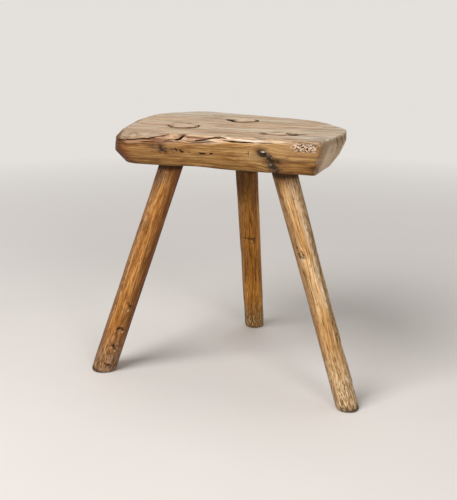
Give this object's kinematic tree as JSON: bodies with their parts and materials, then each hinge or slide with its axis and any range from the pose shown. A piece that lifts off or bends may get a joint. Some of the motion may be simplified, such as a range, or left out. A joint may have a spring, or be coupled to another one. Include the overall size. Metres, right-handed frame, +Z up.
{
  "type": "milking stool",
  "caption": "Low milking stool: a thick hewn seat slab with worn edges on splayed round legs that run through it and are wedged from above.",
  "frame": {"origin": "on the floor, under the middle of the stool's bounding box", "axes": "+X along the seat's grain to its square right end, +Y from the straight front edge towards the rear leg, +Z up"},
  "size_m": [0.4003, 0.309, 0.36],
  "materials": {
    "seat_wood": "worn wax over hewn wood",
    "leg_wood": "worn wax over shaved round wood",
    "wedge_wood": "bare split wood"
  },
  "bodies": {
    "root": {"seat": "seat_wood", "leg_left": "leg_wood", "leg_right": "leg_wood", "leg_rear": "leg_wood", "wedge_left": "wedge_wood", "wedge_right": "wedge_wood", "wedge_rear": "wedge_wood"}
  },
  "joints": []
}
